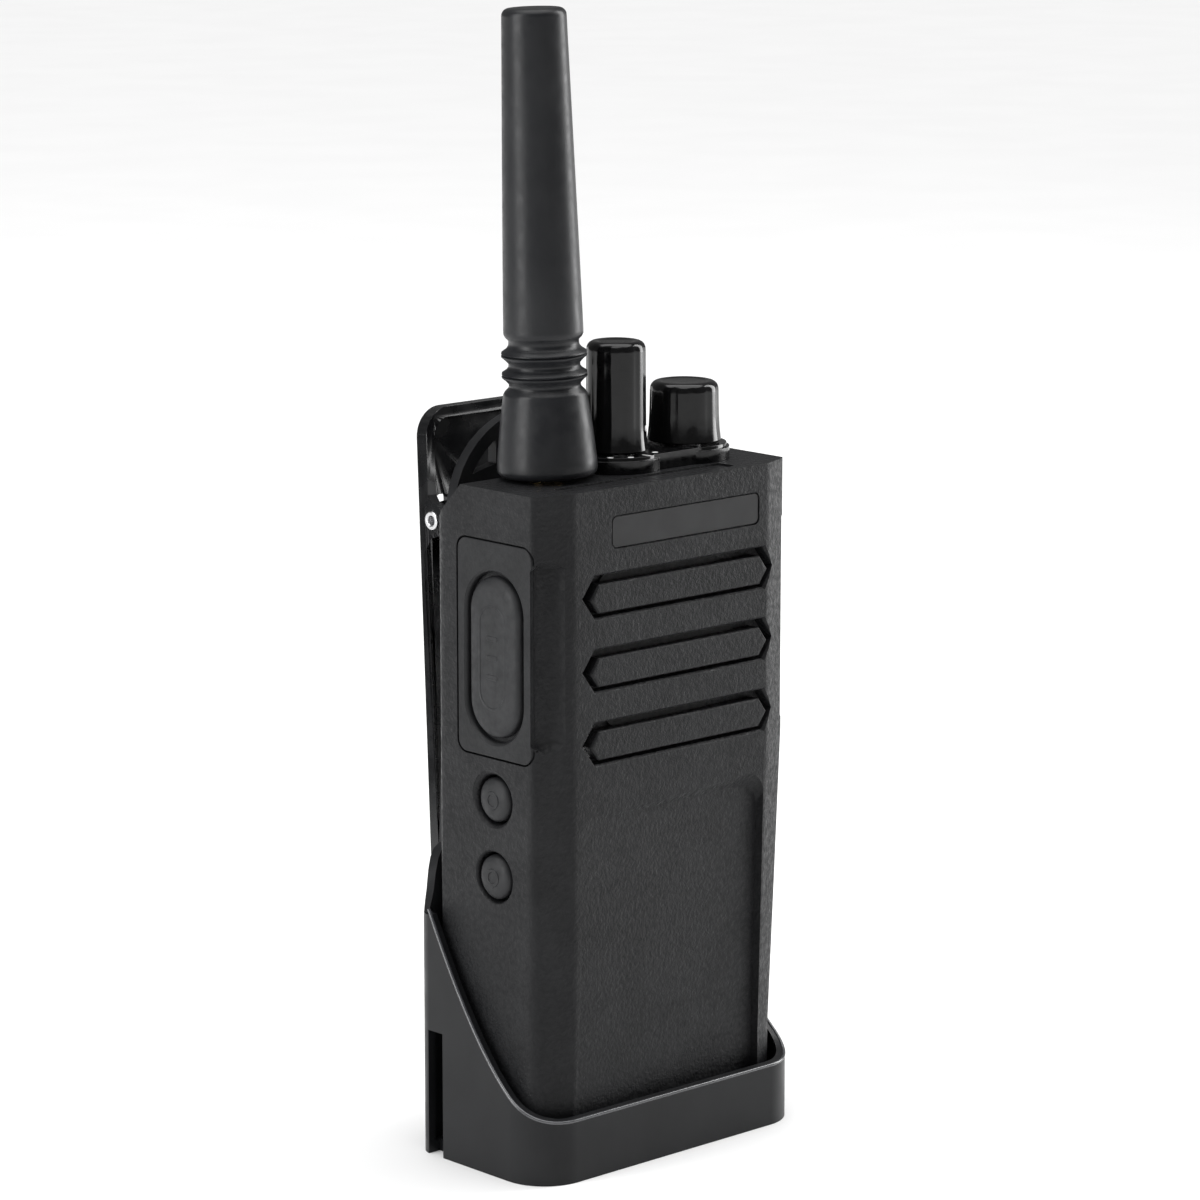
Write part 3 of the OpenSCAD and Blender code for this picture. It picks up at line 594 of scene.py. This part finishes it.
def scoop():
    """Finger channel on the left slope, beside the push-to-talk panel."""
    crease = Vector((-22.9, FRONT + 0.55))
    edge = Vector((-SHOULDER, FRONT + 2.75))
    chord = edge - crease
    radius = ((chord.length / 2) ** 2 + SCOOP_SAG ** 2) / (2 * SCOOP_SAG)
    out = Vector((chord.y, -chord.x)).normalized()
    centre = (crease + edge) / 2 - out * (radius - SCOOP_SAG)
    bottom, top, tip = PANEL_Z - 17.9, PANEL_Z + 17.6, 3.4
    profile = [(0, bottom), (radius - tip, bottom), (radius, bottom + tip), (radius, top - tip),
               (radius - tip, top), (0, top)]
    return lathe(profile, 96, at=(centre.x, centre.y, 0))


def panel_seat():
    """Seat of the push-to-talk panel."""
    w, h, r = PANEL_SIZE
    outline = round_rect(PANEL_Y, PANEL_Z, w + 0.5, h + 0.5, r + 0.2)
    return prism(outline, "x", -SHOULDER - 2, -SHOULDER + 1.3)


def button_seats():
    """Dished seats and openings of the two side buttons."""
    profile = [(0, -2), (5.6, -2), (4.95, 0), (4.7, 0.1), (4.35, 0.4), (4.15, 0.85), (4.1, 5), (0, 5)]
    return [lathe(profile, 64, "x", (-SHOULDER + 0.12, BUTTON_Y, z)) for z in BUTTON_ZS]


def right_inset():
    """Inset panel of the right side, the seat of the socket flap and the two sockets."""
    low, high = INSET_Z
    outline = [(FRONT - 1, low), (SEAM + 1, low), (SEAM + 1, high), (FRONT - 1, high)]
    inset = prism(outline, "x", SHOULDER - 0.9, SHOULDER + 1)
    flap = round_rect(middle("jack_flap", 1), middle("jack_flap", 2), 17.2, 24.6, 2.2)
    seat = prism(flap, "x", SHOULDER - 1.6, SHOULDER + 1)
    bore = [(0, 0), (3.3, 0), (3.3, 3), (0, 3)]
    sockets = [lathe(bore, 40, "x", (SHOULDER - 4, SOCKET_Y, z)) for z in SOCKET_ZS]
    return [inset, seat, *sockets]


def deck_cuts():
    """The deck's back slope, the shallow tray in its front part and the holes of the controls."""
    end = SEAM + 1
    wedge = [(DECK_SLOPE, DECK), (end, DECK - (end - DECK_SLOPE))]
    wedge += [(end, DECK + 1), (DECK_SLOPE - 1, DECK + 1)]
    slope = prism(wedge, "x", -SHOULDER - 1, SHOULDER + 1)
    tray = prism(round_rect(-2.2, -10.2, 37.4, 3.8, 0.6), "z", DECK - 0.35, DECK + 1)
    holes = []
    for node, r in (("channel_shaft", 3.9), ("volume_shaft", 3.9), ("antenna_stud", 3.0)):
        bore = [(0, DECK - 3), (r, DECK - 3), (r, DECK + 1), (0, DECK + 1)]
        holes.append(lathe(bore, 40, at=(middle(node, 0), 0, 0)))
    return [slope, tray, *holes]


def front_housing():
    """The front housing with its slots, fields, scoop, seats and openings."""
    obj = as_object(body_block(), "front_housing_skin")
    carve(obj, ready=[slot_groove(z) for z in SLOT_ZS])
    carve(obj, lower_field(), name_field(), scoop())
    carve(obj, panel_seat(), *button_seats(), *right_inset())
    carve(obj, *deck_cuts())
    round_edges(obj, 0.22, 2, 28)
    shade(obj, 42)
    return place(obj, "radio", GRAIN, "body_shell", "front_housing")


# ---------- push-to-talk panel, keys and buttons ----------


def ptt_panel():
    """Panel round the push-to-talk key, cut by the finger channel on its front edge."""
    w, h, r = PANEL_SIZE
    side = -SHOULDER
    edge = [(0, side + 1.2), (0, side + 0.25), (0.07, side + 0.07), (0.25, side)]
    obj = as_object(mound((PANEL_Y, PANEL_Z, w, h, r), edge, 8), "ptt_panel_skin")
    key_w, key_h = KEY_SIZE
    lip = [(-0.6, side - 1), (0, side + 0.04), (0.2, side + 0.14), (0.42, side + 0.38)]
    lip += [(0.5, side + 0.7), (0.5, side + 2)]
    opening = mound((KEY_Y, KEY_Z, key_w + 2.2, key_h + 2.2, key_w / 2 + 1.08), lip, 16)
    carve(obj, opening, scoop())
    shade(obj, 30)
    return place(obj, "radio", FINE_GRAIN, "body_shell", "ptt_panel")


def ptt_key():
    """Pillow-shaped racetrack key with a raised inner ridge and three grip bars."""
    w, h = KEY_SIZE
    top = span("ptt_key", 0)[0]
    pillow = [(0.1, -26.4), (0.1, top + 1.5), (0.2, top + 1.05), (0.45, top + 0.65)]
    pillow += [(0.95, top + 0.34), (1.7, top + 0.16), (2.8, top + 0.08)]
    obj = as_object(mound((KEY_Y, KEY_Z, w, h, w / 2 - 0.02), pillow, 16), "ptt_key_skin")
    ridge = [(0, top + 0.6), (0, top + 0.08), (0.12, top), (0.45, top), (0.75, top + 0.28)]
    merge_into(obj, as_object(mound((KEY_Y, KEY_Z, 6.6, 17.6, 3.28), ridge), "ridge"))
    bar = [(0, top + 0.7), (0, top + 0.12), (0.15, top + 0.01)]
    for i in (-1, 0, 1):
        merge_into(obj, as_object(mound((KEY_Y, KEY_Z + 3.2 * i, 2.8, 1.0, 0.49), bar, 4), "bar"))
    shade(obj, 35)
    return place(obj, "ptt", KEY, "control_rubber", "ptt_key")


def side_button(node, body):
    """Round button: a domed cap with a fine ring on it."""
    top = span(node, 0)[0]
    at = (top, middle(node, 1), middle(node, 2))
    profile = [(0, 0.16), (0.9, 0.16), (1.0, 0.02), (1.45, 0.05), (1.55, 0.2), (2.5, 0.3)]
    profile += [(3.2, 0.55), (3.6, 0.95), (3.7, 1.4), (3.7, 3.3), (0, 3.3)]
    obj = as_object(lathe(profile, 64, "x", at), node + "_skin")
    shade(obj, 35)
    return place(obj, body, KEY, "control_rubber", node)


# ---------- knobs, antenna, printed marks ----------


def knob(node, body, facets, dot_angle, dot_height):
    """Glossy knob: slightly flared foot, faint upright facets, round shoulder and a white pointer dot."""
    low, high = span(node, 2)
    x = middle(node, 0)
    foot = (span(node, 0)[1] - span(node, 0)[0]) / 2
    r = foot - 0.35
    h = high - low
    profile = [(0, 0), (foot - 0.25, 0), (foot, 0.25), (foot - 0.05, 0.6)]
    profile += [(r + 0.1, 2.4), (r, 4.5), (r - 0.08, h - 1.6)]
    for i in range(1, 6):
        a = math.radians(18 * i)
        profile.append((r - 1.4 + 1.32 * math.cos(a), h - 1.4 + 1.4 * math.sin(a)))
    profile += [(r - 2.1, h - 0.02), (r - 2.3, h - 0.12), (0, h - 0.12)]
    bm = lathe(profile, facets * 6, at=(x, 0, low))
    for v in bm.verts:
        out = Vector((v.co.x - x, v.co.y))
        if 1.5 < v.co.z - low < h - 0.8 and out.length > r - 1:
            wave = math.cos(facets * math.atan2(out.y, out.x))
            out *= 1 - 0.03 * max(0, wave) ** 3
            v.co.x, v.co.y = x + out.x, out.y
    obj = as_object(bm, node + "_skin")
    shade(obj, 35)
    place(obj, body, GLOSS, "gloss_black", node)
    turn = math.radians(dot_angle)
    at = Vector((x + (r + 0.02) * math.cos(turn), (r + 0.02) * math.sin(turn), low + dot_height))
    dot = bmesh.new()
    bmesh.ops.create_uvsphere(dot, u_segments=20, v_segments=12, radius=0.52)
    bmesh.ops.scale(dot, vec=(0.3, 1, 1), verts=dot.verts)
    bmesh.ops.transform(dot, matrix=Matrix.Translation(at) @ Matrix.Rotation(turn, 4, "Z"), verts=dot.verts)
    dot = as_object(dot, node + "_pointer")
    shade(dot, 60, False)
    place(dot, body, PRINT, "gloss_black")


def printed_marks():
    """Printed dots and one stroke round the channel knob."""
    x = middle("channel_knob", 0)
    z = PLATE_TOP - 0.02
    marks = bmesh.new()
    for angle in (-141, -111, -51):
        a = math.radians(angle)
        spot = (x + 6.5 * math.cos(a), 6.5 * math.sin(a), z)
        join(marks, lathe([(0, 0), (0.5, 0), (0.5, 0.05), (0, 0.05)], 20, at=spot))
    a = math.radians(-81)
    stroke = prism(round_rect(0, 0, 1.9, 0.42, 0.18, 3), "z", 0, 0.05)
    spot = Matrix.Translation((x + 6.4 * math.cos(a), 6.4 * math.sin(a), z)) @ Matrix.Rotation(a, 4, "Z")
    bmesh.ops.transform(stroke, matrix=spot, verts=stroke.verts)
    join(marks, stroke)
    return place(as_object(marks, "printed_marks"), "radio", PRINT, "gloss_black")


def antenna():
    """Moulded antenna sheath: flared foot, two grooved ribs, long taper and a rounded tip."""
    x = middle("antenna_stud", 0)
    h = ANTENNA_HEIGHT
    rib = [(5.85, 0), (6.5, 0.7), (6.95, 1.05), (7.0, 1.25), (6.72, 1.42)]
    rib += [(6.98, 1.62), (6.9, 1.9), (6.2, 2.35), (5.85, 2.8)]
    ribs = [(r, 15.7 + 3.35 * i + up) for i in range(2) for r, up in rib]
    tip = [(5.25 - 1.25 + 1.25 * math.cos(a), h - 1.25 + 1.25 * math.sin(a)) for a in
           (math.radians(15 * i) for i in range(7))]
    foot = [(0, 0.6), (7.2, 0.6), (7.75, 0.8), (8.1, 1.25), (8.2, 1.9), (8.15, 3.2), (7.6, 8.5)]
    foot += [(6.85, 13.9), (6.6, 14.4), (5.9, 15.1)]
    shaft = [(5.75, 22.2), (5.75, 22.8), (6.25, 23.3), (6.5, 23.8), (6.52, 24.4), (6.3, 34), (5.9, 50)]
    bm = lathe(foot + ribs + shaft + tip + [(0, h)], 72)
    lean = math.radians(ANTENNA_LEAN)
    stand = Matrix.Translation((x, 0, DECK)) @ Matrix.Rotation(lean, 4, "Y") @ Matrix.Rotation(lean, 4, "X")
    bmesh.ops.transform(bm, matrix=stand, verts=bm.verts)
    obj = as_object(bm, "antenna_sheath_skin")
    shade(obj, 50)
    return place(obj, "radio", SHEATH, "antenna_rubber", "antenna_sheath")


def painted_highlight_bead():
    """Thin bead along the outer edge of the holster's rim, round the front from corner to corner, in a
    lighter glossy colour that is a painted highlight line.
    """
    half, front = span("holster", 0)[1] - 0.2, span("holster", 1)[0] + 0.2
    back = span("holster", 1)[1]
    r = 7.8

    def height(y):
        return RIM_LOW + RIM_SWEEP * max(0, min(y, back - 3.2) - front + 0.2) ** 1.7 - 0.05

    side = [Vector((half, back - 3.4 - 0.8 * i, 0)) for i in range(int((back - 3.4 - front - r) / 0.8))]
    arc = [Vector((half - r + r * math.cos(a), front + r - r * math.sin(a), 0)) for a in
           (math.radians(7.5 * i) for i in range(13))]
    path = side + arc
    path += [Vector((-p.x, p.y, 0)) for p in path[::-1]]
    for p in path:
        p.z = height(p.y)
    rings = []
    for i, p in enumerate(path):
        along = (path[min(i + 1, len(path) - 1)] - path[max(i - 1, 0)]).normalized()
        across = along.cross(Vector((0, 0, 1))).normalized()
        up = across.cross(along)
        turns = [math.tau * k / 10 for k in range(10)]
        rings.append([p + 0.3 * (across * math.cos(a) + up * math.sin(a)) for a in turns])
    obj = as_object(stack(rings), "holster_painted_highlight_bead")
    shade(obj, 60, False)
    # The bead takes the painted highlight colour, not a colour of the holster itself.
    return place(obj, "holster", PAINTED_RIM_HIGHLIGHT, "holster_plastic")


# ---------- pieces that keep their CAD shape, with softened edges ----------

SOFTENED = [
    ("rear_housing", 0.35, "radio", GRAIN, "body_shell"),
    ("battery_door", 0.25, "radio", FINE_GRAIN, "body_shell"),
    ("battery_latch", 0.12, "door_latch", KEY, "control_rubber"),
    ("top_plate", 0.3, "radio", GLOSS, "gloss_black"),
    ("name_plate", 0.06, "radio", BADGE, "plate_grey"),
    ("jack_flap", 0.25, "jack_cover", KEY, "control_rubber"),
    ("holster", 0.42, "holster", HOLSTER, "holster_plastic"),
    ("clip_base", 0.3, "clip_swivel", CLIP, "clip_plastic"),
    ("clip_lever", 0.5, "clip_arm", CLIP, "clip_plastic"),
    ("clip_pin", 0.25, "clip_swivel", STEEL, "steel"),
]


def main_pieces():
    """Builds every piece that stands for a CAD node."""
    front_housing()
    ptt_panel()
    ptt_key()
    side_button("upper_button", "button_upper")
    side_button("lower_button", "button_lower")
    knob("channel_knob", "channel_dial", 12, -55, 3.7)
    knob("volume_knob", "volume_dial", 12, -102, 1.4)
    printed_marks()
    antenna()
    painted_highlight_bead()
    for node, width, body, finish, paint in SOFTENED:
        place(softened(node, width), body, finish, paint, node)
    for node, finish in CAD_FINISH.items():
        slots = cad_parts[node].data.materials
        slots.clear()
        slots.append(finish)


main_pieces()

# ---------- floor, lights, camera ----------


def stage():
    """A pale floor and soft studio light."""
    bm = bmesh.new()
    bmesh.ops.create_grid(bm, x_segments=1, y_segments=1, size=9000)
    bmesh.ops.translate(bm, verts=bm.verts, vec=(0, 0, -0.02))
    floor = as_object(bm, "floor")
    mat = Recipe("pale_floor", (0.9, 0.9, 0.9), 0.7, Specular_IOR_Level=0.2)
    mat.tint(mat.noise(60, 2), (0.885, 0.885, 0.885))
    floor.data.materials.append(mat.material)
    world = bpy.data.worlds.new("studio")
    world.use_nodes = True
    world.node_tree.nodes["Background"].inputs["Color"].default_value = (1, 1, 1, 1)
    world.node_tree.nodes["Background"].inputs["Strength"].default_value = 0.16
    bpy.context.scene.world = world
    overhead = bpy.data.lights.new("overhead", "SUN")
    overhead.energy = 2.9
    overhead.angle = math.radians(70)
    bpy.context.scene.collection.objects.link(bpy.data.objects.new("overhead", overhead))
    lamp("left_softbox", (-0.95, 0.25, 0.42), 0.5, 1.0, 9)
    lamp("right_softbox", (0.85, -0.25, 0.42), 0.4, 1.0, 9)
    bpy.context.scene.view_settings.view_transform = "Standard"


def lamp(name, where, width, height, power):
    """A rectangular soft light aimed at the radio."""
    light = bpy.data.lights.new(name, "AREA")
    light.shape = "RECTANGLE"
    light.size = width
    light.size_y = height
    light.energy = power
    obj = bpy.data.objects.new(name, light)
    obj.location = where
    aim = Vector((0, 0, 0.09)) - Vector(where)
    obj.rotation_euler = aim.to_track_quat("-Z", "Y").to_euler()
    bpy.context.scene.collection.objects.link(obj)


def camera():
    """A long lens, a little above and to the left of the radio's front."""
    yaw, pitch = math.radians(42.88), math.radians(11.36)
    aim = Vector((math.sin(yaw) * math.cos(pitch), math.cos(yaw) * math.cos(pitch), -math.sin(pitch)))
    cam = bpy.data.cameras.new("camera")
    cam.lens = 135.3
    cam.sensor_width = 36
    obj = bpy.data.objects.new("camera", cam)
    obj.location = (-0.5007, -0.5362, 0.2395)
    obj.rotation_euler = aim.to_track_quat("-Z", "Y").to_euler()
    bpy.context.scene.collection.objects.link(obj)
    bpy.context.scene.camera = obj


stage()
camera()
